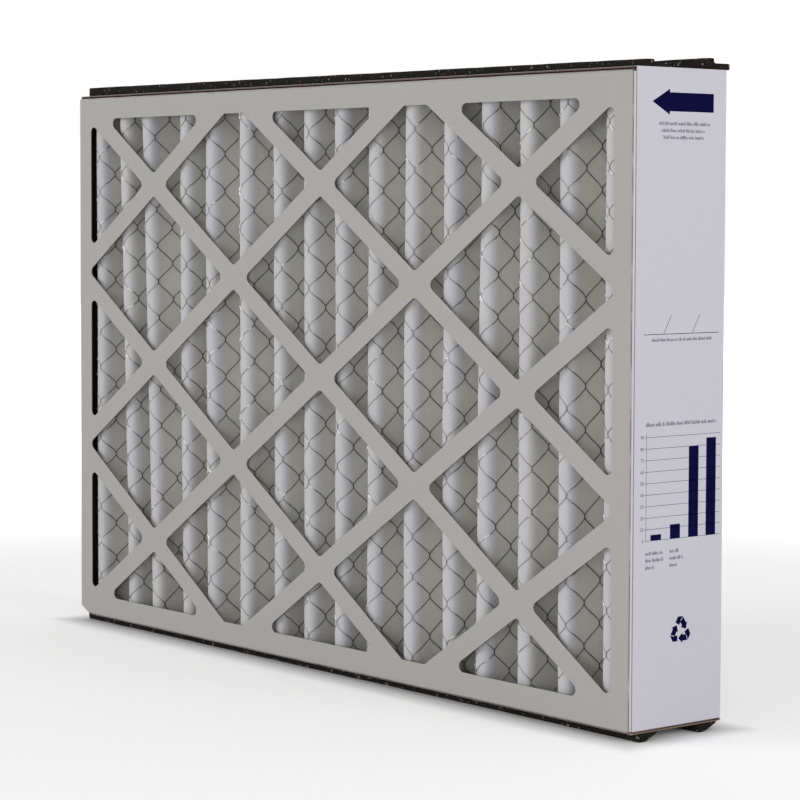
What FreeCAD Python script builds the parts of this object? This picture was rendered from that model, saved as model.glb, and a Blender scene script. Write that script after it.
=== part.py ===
"""Pleated panel filter for the cabinet of a whole-house air cleaner.

A pleated felt pack with a wire backing stands in a frame of two folded boards. Each board is one
die-cut sheet: a face with a diamond lattice, and four flaps. The front half slides into the rear
half, flap inside flap, and the boards are glued together. Four foam strips on the top and bottom
flaps seal the filter in its cabinet.

Axes: +X runs along the length to the printed end, -Y is the side where the air leaves, +Z is up.
The origin is the middle of the floor under the two bottom strips. All sizes are in millimetres.
"""
import FreeCAD, Part
import math
import os

# Sizes of the frame

length = 616.0            # outside of the rear half, end flap to end flap
frame_height = 402.7      # outside of the rear half, without the foam strips
depth = 79.0              # front face to rear face
board = 0.7               # thickness of the board
fold_inside = 0.4         # inside radius of every fold
glue_line = 0.15          # film of glue between two boards, or between a board and the felt
top_play = 1.2            # the front half is that much lower than its room in the rear half
front_flap = 73.0         # reach of the front half's flaps, from the front face
flap_setback = 2.3        # front edge of the rear half's flaps, behind the front face
end_flap_lift = 0.3       # bottom edge of the end flaps, above the two bottom flaps

# Sizes of the bit that is gone from one corner of the frame

worn_length = 14.5        # along the bottom edge, from the plain end
worn_height = 7.3         # up the plain end
worn_depth = 9.0          # behind the front face

# Sizes of the lattice in both faces

border = 16.0             # closed band round the lattice
strap = 14.0              # width of a slanted strap
opening_corner = 4.0      # radius in the corners of an opening
cells = 3                 # diamonds along the length, and along the height

# Sizes of the pleated felt

felt = 1.6                # thickness of the felt
pleat_pitch = 37.4        # distance from crest to crest
crest_shift = (-6, -4, -10, -2, -7, -2, 2, 0, -2, -3, -1, 2, 0, 2, 2, 6)  # folded by hand:
                          # how far each crest stands from its even place, to +X
crest_gap_front = 2.8     # front board to the front of a crest
crest_gap_rear = 2.0      # rear board to the back of a crest
crest_half_width = 6.0    # half the width of a crest, on the felt's middle line
crest_flat = 3.6          # what stays flat in the middle of a crest
rear_half_width = 8.0     # half the width of a fold at the rear, on the felt's middle line
rear_flat = 1.2           # what stays flat in the middle of that fold
end_leg = 42.0            # reach of the glued leg at each end, from the rear crests

# Sizes of the wire backing

wire_width = 0.9          # foot of a wire, along the felt
wire_height = 0.7         # how far a wire stands off the felt
wire_gap = 0.1            # between a wire and the felt
wire_reach = 12.0         # how far the mesh is drawn down each flank
mesh_rise = 13.5          # height that one slanted wire climbs
mesh_margin = 2.0         # least distance from the mesh to the felt's top and bottom edges

# Sizes of the foam strips

strip_height = 5.4        # thickness of the foam at its crown
strip_width = 20.5        # across a top strip
strip_crown = 7.0         # width of its crown, from its front edge
strip_tail = 3.0          # thickness of the thin part behind the crown
pressed_width = 14.5      # front edge of a bottom strip's crown to the strip's rear edge
pressed_crown = 5.0       # width of that crown
pressed_toe = 2.0         # how far the strip's foot stands in front of its crown
pressed_edge = 0.8        # thickness that is left at its rear edge
strip_round = 1.2         # rounding of the strips' long edges
front_strip_inset = 9.5   # front face to the crowns of the front strips
rear_strip_overhang = 2.0 # how far the rear strips stand out behind the rear face

# Fineness of what is rounded

facet_turn = 40.0         # most that one facet of a long round edge turns, in degrees
corner_turn = 30.0        # the same for the corners of an opening
shortest = 0.001          # two points nearer than this are one

# Places that follow from the sizes

X = FreeCAD.Vector(1, 0, 0)
Y = FreeCAD.Vector(0, 1, 0)
Z = FreeCAD.Vector(0, 0, 1)

front_y = -(depth + rear_strip_overhang) / 2
rear_y = front_y + depth
rear_bottom = strip_height
rear_top = rear_bottom + frame_height
front_length = length - 2 * (board + glue_line)
front_bottom = rear_bottom + board + glue_line
front_top = rear_top - board - top_play
fold_outside = fold_inside + board
wall_x = front_length / 2 - board
felt_bottom = front_bottom + board + glue_line
felt_top = front_top - board - glue_line


def polyline_face(points):
    """A flat face inside a closed line through the points."""
    return Part.Face(Part.makePolygon(points + points[:1]))


def rounded(corners):
    """The points of a line in the plane z = 0 through corners given as (x, y, radius).

    A corner with a radius becomes points on its arc, whose centre lies on the bisector of the
    corner, radius / cos(turn / 2) away from it. Each facet turns by facet_turn at most.
    """
    points = [FreeCAD.Vector(x, y, 0) for x, y, radius in corners]
    line = [points[0]]
    for k in range(1, len(points) - 1):
        before = (points[k] - points[k - 1]).normalize()
        after = (points[k + 1] - points[k]).normalize()
        turn = before.getAngle(after)
        radius = corners[k][2]
        facets = math.ceil(math.degrees(turn) / facet_turn)
        if radius == 0 or facets < 2:
            line.append(points[k])
            continue
        to_centre = (after - before).normalize()
        centre = points[k] + to_centre * (radius / math.cos(turn / 2))
        sideways = (before + after).normalize()
        for step in range(facets + 1):
            angle = turn * (step / facets - 0.5)
            point = centre + (sideways * math.sin(angle) - to_centre * math.cos(angle)) * radius
            if (point - line[-1]).Length > shortest:
                line.append(point)
    line.append(points[-1])
    return line


def grown(centres, radius):
    """The outline at radius outside a convex outline, with an arc of facets round each centre.

    Along the arc the way out turns from the normal of the side before to that of the side after.
    """
    middle = sum(centres, FreeCAD.Vector()) * (1 / len(centres))
    line = []
    for k, centre in enumerate(centres):
        before = (centre - centres[k - 1]).normalize()
        after = (centres[(k + 1) % len(centres)] - centre).normalize()
        turn = before.getAngle(after)
        out = (after.cross(before)).cross(before).normalize()
        if out.dot(centre - middle) < 0:
            out = -out
        facets = math.ceil(math.degrees(turn) / corner_turn)
        for step in range(facets + 1):
            angle = turn * step / facets
            line.append(centre + (out * math.cos(angle) + before * math.sin(angle)) * radius)
    return line


def two_sides(points, normal, half_width):
    """The lines at half_width left and right of a line, with mitred corners."""
    ways = [(end - start).normalize() for start, end in zip(points, points[1:])]
    left, right = [], []
    for k, point in enumerate(points):
        before = ways[max(k - 1, 0)]
        after = ways[min(k, len(ways) - 1)]
        across = normal.cross((before + after).normalize())
        reach = half_width / math.cos(before.getAngle(after) / 2)
        left.append(point + across * reach)
        right.append(point - across * reach)
    return left, right


def band(corners, thickness):
    """The outline of a sheet's section: its middle line, thickened to both sides."""
    left, right = two_sides(rounded(corners), Z, thickness / 2)
    return left + right[::-1]


def folded_flap(corner, inward, back, run, reach):
    """A fold and the flap behind it, as one section carried along run.

    corner is on the sharp outer edge that the fold rounds off, inward lies in the face, and
    back is the way that the flap goes. reach counts from the outside of the face.
    """
    middle = board / 2
    section = band([(fold_outside, middle, 0), (middle, middle, fold_inside + middle),
                    (middle, reach, 0)], board)
    outline = [corner + inward * point.x + back * point.y for point in section]
    return polyline_face(outline).extrude(run)


def lattice_openings(face_length, bottom, top, low_y, thick):
    """Prisms for the openings of one face.

    The straps run parallel to the face's two diagonals and cross at every node (i, j) of a
    grid of half cells where i + j is even. An opening sits at every node where i + j is odd:
    a diamond between four straps, cut off by the border where it meets it.
    """
    height = top - bottom
    half_x = face_length / (2 * cells)
    half_z = height / (2 * cells)
    corner = FreeCAD.Vector(border - face_length / 2, low_y, bottom + border)
    across = X * (face_length - 2 * border)
    up = Z * (height - 2 * border)
    window = polyline_face([corner, corner + across, corner + across + up, corner + up])
    slope = math.atan2(half_z, half_x)
    tip_x = half_x - strap / 2 / math.sin(slope)
    tip_z = half_z - strap / 2 / math.cos(slope)
    prisms = []
    for i in range(2 * cells + 1):
        for j in range(2 * cells + 1):
            if (i + j) % 2 == 0:
                continue
            middle = FreeCAD.Vector(i * half_x - face_length / 2, low_y, bottom + j * half_z)
            tips = [middle - X * tip_x, middle - Z * tip_z, middle + X * tip_x, middle + Z * tip_z]
            outline = window.common(polyline_face(tips)).Faces[0]
            core = outline.makeOffset2D(-opening_corner)
            centres = [vertex.Point for vertex in core.OuterWire.OrderedVertexes]
            prisms.append(polyline_face(grown(centres, opening_corner)).extrude(Y * thick))
    return prisms


def folded_half(face_length, bottom, top, face_y, back, reach, end_bottom, end_top, long_run):
    """One folded board: a latticed face at face_y with a flap on each side.

    The end flaps stand from end_bottom to end_top. The bottom and top flaps run to long_run
    from the middle, given for each of the two.
    """
    low_y = min(face_y, face_y + back.y * board)
    sheet = Part.makeBox(face_length - 2 * fold_outside, board, top - bottom - 2 * fold_outside,
                         FreeCAD.Vector(fold_outside - face_length / 2, low_y, bottom + fold_outside))
    sheet = sheet.cut(Part.Compound(lattice_openings(face_length, bottom, top, low_y, board)))
    flaps = []
    for z, inward, run in ((bottom, Z, long_run[0]), (top, -Z, long_run[1])):
        flaps.append(folded_flap(FreeCAD.Vector(-run, face_y, z), inward, back, X * 2 * run, reach))
    for side in (-1, 1):
        foot = FreeCAD.Vector(side * face_length / 2, face_y, end_bottom)
        flaps.append(folded_flap(foot, X * -side, back, Z * (end_top - end_bottom), reach))
    return sheet.fuse(flaps).removeSplitter()


def front_half():
    """The inner board. All four of its flaps stop short of the corners, where the sheet is slit."""
    return folded_half(front_length, front_bottom, front_top, front_y, Y, front_flap,
                       front_bottom + fold_outside, front_top - fold_outside,
                       (front_length / 2 - fold_outside, front_length / 2 - fold_outside))


def rear_half():
    """The outer board. Its end flaps cover the top flap's ends and leave the bottom flap's raw
    ends to show below them. The flap on +X is the end panel that carries the print."""
    return folded_half(length, rear_bottom, rear_top, rear_y, -Y, depth - flap_setback,
                       front_bottom + board + end_flap_lift, rear_top,
                       (length / 2 - glue_line, length / 2 - fold_outside))


def worn_corner():
    """What is gone from both boards at the front's lower corner on the plain end: a wedge."""
    corner = FreeCAD.Vector(-length / 2, front_y, rear_bottom)
    outline = [corner, corner + X * worn_length, corner + Z * worn_height]
    return polyline_face(outline).extrude(Y * worn_depth)


def pleat_places():
    """The places of the crests and of the rear folds along X.

    Even places fill the frame at a pitch near the wanted one, and each crest is moved by its own
    shift. A rear fold lies midway between two crests, and one more at each end wall.
    """
    first_rear = wall_x - glue_line - felt / 2 - rear_half_width
    count = round(2 * first_rear / pleat_pitch)
    pitch = 2 * first_rear / count
    crests = []
    for k in range(count):
        crests.append((k + 0.5) * pitch - first_rear + crest_shift[k % len(crest_shift)])
    between = [(left + right) / 2 for left, right in zip(crests, crests[1:])]
    return crests, [-first_rear] + between + [first_rear]


crests, rear_folds = pleat_places()
crest_y = front_y + board + crest_gap_front + felt / 2
rear_crest_y = rear_y - board - crest_gap_rear - felt / 2
crest_radius = crest_half_width - crest_flat / 2
rear_radius = rear_half_width - rear_flat / 2


def felt_corners():
    """The felt's middle line, from the glued leg at one end to the other's."""
    corners = [(rear_folds[0] - rear_half_width, rear_crest_y - end_leg, 0)]
    for k, x in enumerate(crests):
        corners.append((rear_folds[k] - rear_half_width, rear_crest_y, rear_radius))
        corners.append((rear_folds[k] + rear_half_width, rear_crest_y, rear_radius))
        corners.append((x - crest_half_width, crest_y, crest_radius))
        corners.append((x + crest_half_width, crest_y, crest_radius))
    corners.append((rear_folds[-1] - rear_half_width, rear_crest_y, rear_radius))
    corners.append((rear_folds[-1] + rear_half_width, rear_crest_y, rear_radius))
    corners.append((rear_folds[-1] + rear_half_width, rear_crest_y - end_leg, 0))
    return corners


def pleated_felt():
    """The felt pack: the section of the folded felt, carried upwards."""
    section = polyline_face(band(felt_corners(), felt))
    section.translate(Z * felt_bottom)
    return section.extrude(Z * (felt_top - felt_bottom))


def bent_wire(points, outward):
    """A wire of triangular section along a flat zigzag, with mitred bends.

    Its foot lies in the zigzag's plane, and its ridge stands off along outward.
    """
    left, right = two_sides(points, outward, wire_width / 2)
    ridge = [point + outward * wire_height for point in points]
    faces = [polyline_face(left + right[::-1])]
    for k in range(len(points) - 1):
        faces.append(polyline_face([left[k], left[k + 1], ridge[k + 1], ridge[k]]))
        faces.append(polyline_face([right[k], ridge[k], ridge[k + 1], right[k + 1]]))
    for k in (0, len(points) - 1):
        faces.append(polyline_face([left[k], right[k], ridge[k]]))
    wire = Part.Solid(Part.Shell(faces))
    if wire.Volume < 0:
        wire.reverse()
    return wire


def zigzag(low_side, high_side, outward, first_low):
    """A wire that climbs to and fro between two upright lines, given by their feet."""
    across = high_side - low_side
    slope = math.atan2(across.Length, mesh_rise)
    inset = across.normalize() * (wire_width / 2 / math.sin(math.pi / 2 - slope))
    sides = [low_side + inset, high_side - inset]
    climbs = int((felt_top - felt_bottom - 2 * mesh_margin) / mesh_rise)
    start = (felt_bottom + felt_top - climbs * mesh_rise) / 2
    path = []
    for k in range(climbs + 1):
        side = sides[(k + (0 if first_low else 1)) % 2]
        path.append(side + Z * (start + k * mesh_rise))
    return bent_wire(path, outward)


def flank_wire_places(k, side):
    """Where the wire down one flank of crest k starts and ends, and the way that it stands off.

    side is -1 or 1. The wire keeps its distance from the felt, so it starts on the mitre between
    nose and flank.
    """
    stand = felt / 2 + wire_gap
    edge = FreeCAD.Vector(crests[k] + side * crest_half_width, crest_y, 0)
    fold = rear_folds[k + (1 + side) // 2] - side * rear_half_width
    down = (FreeCAD.Vector(fold, rear_crest_y, 0) - edge).normalize()
    out = down.cross(Z * side)
    start = edge + X * side * stand * math.tan(down.getAngle(X * side) / 2) - Y * stand
    return start, edge + down * wire_reach + out * stand, out


def wire_backing():
    """Three zigzag wires on every crest, one across it and one down each flank.

    Neighbouring wires meet tip to tip at every second climb, which leaves diamonds between them.
    """
    wires = []
    for k in range(len(crests)):
        left_nose, left_end, left_out = flank_wire_places(k, -1)
        right_nose, right_end, right_out = flank_wire_places(k, 1)
        wires.append(zigzag(left_nose, right_nose, -Y, True))
        wires.append(zigzag(right_nose, right_end, right_out, False))
        wires.append(zigzag(left_end, left_nose, left_out, False))
    return Part.Compound(wires)


def top_section():
    """A top strip's section: a crown along the front edge, and a thin tail a step below it."""
    return [(0, 0, 0), (0, strip_height, strip_round), (strip_crown, strip_height, strip_round),
            (strip_crown, strip_tail, 0), (strip_width, strip_tail, strip_round), (strip_width, 0, 0)]


def bottom_section():
    """A bottom strip's section: the filter's weight has pressed the foam to a slope."""
    return [(-pressed_toe, 0, 0), (0, strip_height, strip_round),
            (pressed_crown, strip_height, strip_round), (pressed_width, pressed_edge, 0),
            (pressed_width, 0, 0)]


def foam_strip(section, front_edge, flap_z, outward):
    """A foam strip on a flap: its section, with the crown's front edge at 0, carried along X."""
    start = FreeCAD.Vector(-length / 2, front_edge, flap_z)
    outline = [start + Y * point.x + outward * point.y for point in rounded(section)]
    return polyline_face(outline).extrude(X * length)


def main():
    front_strip_y = front_y + front_strip_inset
    rear_strip_y = rear_y + rear_strip_overhang - strip_width
    nodes = {
        "front_frame": front_half().cut(worn_corner()),
        "rear_frame": rear_half().cut(worn_corner()),
        "pleated_felt": pleated_felt(),
        "wire_mesh": wire_backing(),
        "seal_top_front": foam_strip(top_section(), front_strip_y, rear_top, Z),
        "seal_top_rear": foam_strip(top_section(), rear_strip_y, rear_top, Z),
        "seal_bottom_front": foam_strip(bottom_section(), front_strip_y, rear_bottom, -Z),
        "seal_bottom_rear": foam_strip(bottom_section(), rear_strip_y, rear_bottom, -Z),
    }
    os.makedirs("parts", exist_ok=True)
    for name, shape in nodes.items():
        shape.exportStep(f"parts/{name}.step")
        box = shape.BoundBox
        print(name, "solids", len(shape.Solids), "valid", shape.isValid(),
              "volume", round(shape.Volume), "box", round(box.XLength, 2), round(box.YLength, 2),
              round(box.ZLength, 2))
    print("crests", [round(x, 1) for x in crests])


main()
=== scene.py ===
# %% [markdown]
# # A pleated panel filter, dressed
#
# The construction of this filter comes ready made: two folded boards, a pleated felt, a wire
# backing and four foam strips, each at its real size. This file gives them their looks. It makes
# the soft and the fine pieces again with more form than the plain solids have, prints the end
# panel, and gives every surface its finish.

# %% Load the ready-made frame
import math

import bpy
import numpy as np
from mathutils import Matrix, Vector


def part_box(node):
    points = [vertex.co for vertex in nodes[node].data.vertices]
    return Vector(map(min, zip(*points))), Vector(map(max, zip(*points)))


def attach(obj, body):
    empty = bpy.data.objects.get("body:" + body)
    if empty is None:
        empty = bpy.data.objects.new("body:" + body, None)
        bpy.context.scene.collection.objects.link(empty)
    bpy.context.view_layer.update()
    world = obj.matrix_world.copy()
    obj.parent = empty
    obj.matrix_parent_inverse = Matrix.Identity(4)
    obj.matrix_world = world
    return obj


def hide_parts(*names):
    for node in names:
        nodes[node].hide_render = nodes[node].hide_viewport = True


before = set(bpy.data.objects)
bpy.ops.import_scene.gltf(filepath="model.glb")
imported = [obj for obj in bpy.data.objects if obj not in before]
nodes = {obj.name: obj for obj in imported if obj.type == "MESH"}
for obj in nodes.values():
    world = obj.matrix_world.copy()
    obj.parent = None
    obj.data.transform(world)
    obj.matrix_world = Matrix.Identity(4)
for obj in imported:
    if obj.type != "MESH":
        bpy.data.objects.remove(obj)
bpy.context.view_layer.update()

scene = bpy.context.scene
scene.view_settings.view_transform = "Standard"
MM = 0.001
print("nodes", sorted(nodes))

# %% [markdown]
# ## Places that everything else hangs on
#
# The boxes of the ready-made pieces say where the faces of the filter lie. All sizes below are in
# millimetres, and only the last step of each piece turns them into metres, because a maker thinks
# of board, felt and wire in millimetres.

# %% Read the frame's places in millimetres


def box_mm(name):
    """The lowest and the highest corner of a ready-made piece, in millimetres."""
    low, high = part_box(name)
    return np.array(low) / MM, np.array(high) / MM


front_low, front_high = box_mm("front_frame")
rear_low, rear_high = box_mm("rear_frame")
felt_low, felt_high = box_mm("pleated_felt")
board = 0.7                       # thickness of the board
fold_outside = 1.1                # outside radius of its folds
front_y = front_low[1]            # the face where the air leaves
rear_y = rear_high[1]             # the face where the air enters
end_x = rear_high[0]              # outside of the printed end panel
panel_front = rear_low[1]         # front edge of the end panel
panel_top = rear_high[2]
print("front face", round(front_y, 2), "rear face", round(rear_y, 2), "end", round(end_x, 2))

# %% [markdown]
# ## Turning arrays into pieces
#
# Every new piece is a numpy array of points and an array of corner numbers. `from_pydata` would
# read them one by one as Python lists, so `foreach_set` is used: it copies a whole array into the
# mesh at once, which keeps a mesh of a hundred thousand points quick to make.

# %% A mesh object from arrays


def make_piece(name, points, faces, material, smooth=True):
    """A piece from points in millimetres (n, 3) and faces (m, corners), all with equally many."""
    mesh = bpy.data.meshes.new(name)
    count, corners = faces.shape
    mesh.vertices.add(len(points))
    mesh.vertices.foreach_set("co", (points * MM).ravel())
    mesh.loops.add(faces.size)
    mesh.loops.foreach_set("vertex_index", faces.ravel().astype(np.int32))
    mesh.polygons.add(count)
    mesh.polygons.foreach_set("loop_start", np.arange(0, faces.size, corners, dtype=np.int32))
    mesh.polygons.foreach_set("use_smooth", np.full(count, smooth))
    mesh.update(calc_edges=True)
    mesh.validate()
    mesh.materials.append(material)
    piece = bpy.data.objects.new(name, mesh)
    scene.collection.objects.link(piece)
    return piece


def grid_faces(rows, columns, closed=False):
    """Quads over a grid of rows by columns of points; closed joins the last column to the first."""
    number = np.arange(rows * columns).reshape(rows, columns)
    if closed:
        number = np.hstack([number, number[:, :1]])
    return np.stack([number[:-1, :-1], number[:-1, 1:], number[1:, 1:], number[1:, :-1]],
                    axis=-1).reshape(-1, 4)


def fan_faces(count):
    """Triangles from the first of count points to each pair of neighbours among the others."""
    number = np.arange(1, count - 1)
    return np.stack([np.zeros_like(number), number, number + 1], axis=-1)


def joined(parts):
    """Several (points, faces) as one, with the corner numbers moved on."""
    starts = np.cumsum([0] + [len(points) for points, _ in parts[:-1]])
    return (np.concatenate([points for points, _ in parts]),
            np.concatenate([faces + start for (_, faces), start in zip(parts, starts)]))


# %% [markdown]
# ## Shared effects
#
# Board, ink, felt, wire and foam all need some of the same small effects: a tone that wanders a
# little, a fine relief, and a line of wear. Each is a node group with named sockets, built once and
# placed in each material with its own values. The groups give out only colours, masks and normals.
# The shader itself and every value that is the same all over stay in the material.

# %% Helpers for node trees


def feed(tree, value, socket):
    """Gives a socket its value: a link from another socket, a colour or a number."""
    if isinstance(value, bpy.types.NodeSocket):
        tree.links.new(value, socket)
    elif isinstance(value, tuple):
        socket.default_value = (*value, 1)
    else:
        socket.default_value = value


def add_node(tree, kind, **values):
    """A shader node of a kind, with its input sockets and its settings given by name."""
    node = tree.nodes.new("ShaderNode" + kind)
    for key, value in values.items():
        socket = node.inputs.get(key.replace("_", " ").title())
        if socket is None:
            setattr(node, key, value)
        else:
            feed(tree, value, socket)
    return node


def maths(tree, operation, *values):
    """The result of a Math node whose inputs are numbers or sockets."""
    node = add_node(tree, "Math", operation=operation)
    for socket, value in zip(node.inputs, values):
        feed(tree, value, socket)
    return node.outputs[0]


def ramp(tree, value, low, high, kind="SMOOTHSTEP"):
    """0 below low, 1 above high, and a ramp between."""
    return add_node(tree, "MapRange", interpolation_type=kind, value=value, from_min=low,
                    from_max=high).outputs["Result"]


def more(tree, value, low, high, kind="SMOOTHSTEP"):
    """0 below low and 1 above high, both in millimetres."""
    return ramp(tree, value, low * MM, high * MM, kind)


def less(tree, value, low, high):
    """1 below low and 0 above high, both in millimetres."""
    return maths(tree, "SUBTRACT", 1.0, more(tree, value, low, high))


def blend(tree, share, first, second):
    """A colour that goes from first to second; each is a socket or a colour."""
    node = add_node(tree, "Mix", data_type="RGBA")
    for place, value in ((0, share), (6, first), (7, second)):
        feed(tree, value, node.inputs[place])
    return node.outputs[2]


def object_place(tree):
    """The place on the object, from which every pattern here is worked out."""
    return add_node(tree, "TexCoord").outputs["Object"]


def coordinates(tree, place):
    """The three coordinates of a place, each a socket."""
    return add_node(tree, "SeparateXYZ", vector=place).outputs


def noise(tree, scale, detail):
    """Cloudy noise from 0 to 1 over the object."""
    return add_node(tree, "TexNoise", vector=object_place(tree), scale=scale,
                    detail=detail).outputs["Fac"]


def new_group(name, inputs, outputs):
    """An empty node group, the sockets that it is given and the sockets that it fills.

    inputs and outputs give the kind of each socket by its name.
    """
    group = bpy.data.node_groups.new(name, "ShaderNodeTree")
    for in_out, sockets in (("INPUT", inputs), ("OUTPUT", outputs)):
        for label, kind in sockets.items():
            group.interface.new_socket(label, in_out=in_out, socket_type="NodeSocket" + kind)
    return group, group.nodes.new("NodeGroupInput").outputs, group.nodes.new("NodeGroupOutput").inputs


# %% Wandering tone, fine relief and a worn line


def wandering_tone():
    """Mixes two colours by cloudy noise, with finer noise on top for fibres or grain."""
    group, given, out = new_group(
        "wandering tone", {"Light": "Color", "Dark": "Color", "Cloud Scale": "Float",
                           "Grain Scale": "Float", "Grain Share": "Float"},
        {"Color": "Color", "Tone": "Float"})
    tone = add_node(group, "Mix", data_type="FLOAT", factor=given["Grain Share"],
                    a=noise(group, given["Cloud Scale"], detail=3.0),
                    b=noise(group, given["Grain Scale"], detail=2.0)).outputs[0]
    feed(group, blend(group, tone, given["Light"], given["Dark"]), out["Color"])
    feed(group, tone, out["Tone"])
    return group


def fine_relief():
    """A normal from two sizes of noise, for the fibres of paper or felt, or the skin of wire."""
    group, given, out = new_group(
        "fine relief", {"Coarse Scale": "Float", "Fine Scale": "Float", "Depth": "Float",
                        "Strength": "Float"}, {"Normal": "Vector"})
    height = maths(group, "ADD", noise(group, given["Coarse Scale"], detail=4.0),
                   noise(group, given["Fine Scale"], detail=2.0))
    bump = add_node(group, "Bump", height=height, distance=given["Depth"],
                    strength=given["Strength"])
    feed(group, bump.outputs["Normal"], out["Normal"])
    return group


def worn_line():
    """A broken line where a value is nought, as where a coating has cracked on a fold.

    The mask falls from 1 at nought to 0 at half the width, and noise breaks it up.
    """
    group, given, out = new_group(
        "worn line", {"Value": "Float", "Half Width": "Float", "Break Scale": "Float"}, {"Mask": "Float"})
    share = maths(group, "DIVIDE", maths(group, "ABSOLUTE", given["Value"]), given["Half Width"])
    line = maths(group, "MAXIMUM", maths(group, "SUBTRACT", 1.0, share), 0.0)
    unbroken = ramp(group, noise(group, given["Break Scale"], detail=3.0), 0.38, 0.56)
    feed(group, maths(group, "MULTIPLY", line, unbroken), out["Mask"])
    return group


tone_group = wandering_tone()
relief_group = fine_relief()
wear_group = worn_line()

# %% The parts that a material is put together from


def new_material(name, roughness, specular=0.5, metallic=0.0):
    """A material with its shader; the values that are the same all over sit on its sockets."""
    material = bpy.data.materials.new(name)
    material.use_nodes = True
    tree = material.node_tree
    shader = tree.nodes["Principled BSDF"]
    shader.inputs["Roughness"].default_value = roughness
    shader.inputs["Specular IOR Level"].default_value = specular
    shader.inputs["Metallic"].default_value = metallic
    return material, tree, shader


def toned(tree, light, dark, cloud, grain, share):
    """What the wandering tone gives between two colours: the mixture and the bare tone."""
    return add_node(tree, "Group", node_tree=tone_group, light=light, dark=dark,
                    cloud_scale=cloud, grain_scale=grain, grain_share=share).outputs


def relief(tree, coarse, fine, depth, strength):
    """The normal of the fine relief, with its depth in millimetres."""
    return add_node(tree, "Group", node_tree=relief_group, coarse_scale=coarse,
                    fine_scale=fine, depth=depth * MM, strength=strength).outputs["Normal"]


def paper_relief(tree):
    """The relief of the board's coating, which the ink on it takes over."""
    return relief(tree, coarse=260.0, fine=1800.0, depth=0.08, strength=0.35)


def dress(tree, shader, colour, normal):
    """Gives a shader the colour and the normal that change over the surface."""
    feed(tree, colour, shader.inputs["Base Color"])
    feed(tree, normal, shader.inputs["Normal"])


# %% [markdown]
# ## Board
#
# The frame is coated board: a smooth printed skin over a brown core. The skin is only as thick as
# paint, so the core shows wherever a knife has cut: round every opening and along the flaps'
# edges. Each of those faces could be picked out and given a second material, but the place alone
# says enough. A board has its skin at one depth and its back one board thickness behind it, and
# what lies between the two is cut edge. A fold is rounded, so the depths from its two sides are
# joined by a smooth minimum, which is about nought all along the round outside. Where the coating
# was bent, it has cracked a little, and that is a worn line along each fold.
# The back inside carries painted shade, with painted light near its raw edges, and the front half's end
# flaps carry a painted highlight.

# %% Depths under the skin of a folded board

FOLD_BLEND = 6 * fold_outside * (1 - math.sqrt(0.5))   # makes the smooth minimum nought at 45 degrees


def inside_by(tree, value, low, high):
    """How far a coordinate lies inside the range from low to high, in metres."""
    offset = maths(tree, "ABSOLUTE", maths(tree, "SUBTRACT", value, (low + high) / 2 * MM))
    return maths(tree, "SUBTRACT", (high - low) / 2 * MM, offset)


def board_depths(tree, low, high, skin_face, flap_edge):
    """Sockets with four depths: behind the face, inside the end flaps and the long flaps, and
    above the underside."""
    x, y, z = coordinates(tree, object_place(tree))
    inward = 1 if flap_edge > skin_face else -1
    depth = maths(tree, "MULTIPLY", maths(tree, "SUBTRACT", y, skin_face * MM), inward)
    above = maths(tree, "SUBTRACT", z, low[2] * MM)
    return depth, inside_by(tree, x, low[0], high[0]), inside_by(tree, z, low[2], high[2]), above


# %% The board's material

# each pair says between which depths, in millimetres, one look gives way to the next
SKIN_TO_CORE = (0.08, 0.16)
CORE_TO_BACK = (board - 0.1, board - 0.03)
FLAP_SKIN = (0.2, 0.4)            # an end flap's own skin, by the depth inside the flap
FACE_TO_FLAP = (0.6, 1.3)         # and by the depth behind the face
PANEL_FOOT = (board, board + 0.1)
RAW_EDGE = (0.1, 0.4)             # a flap's raw edge, by the distance from it
END_FLAP = (0.9, 1.1)             # what belongs to an end flap and not to a long one
CRACK_END = (1.0, 1.4)            # how far behind the face a crack reaches
CRACK_HALF = 0.6                  # half the width of a crack, in millimetres


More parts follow.
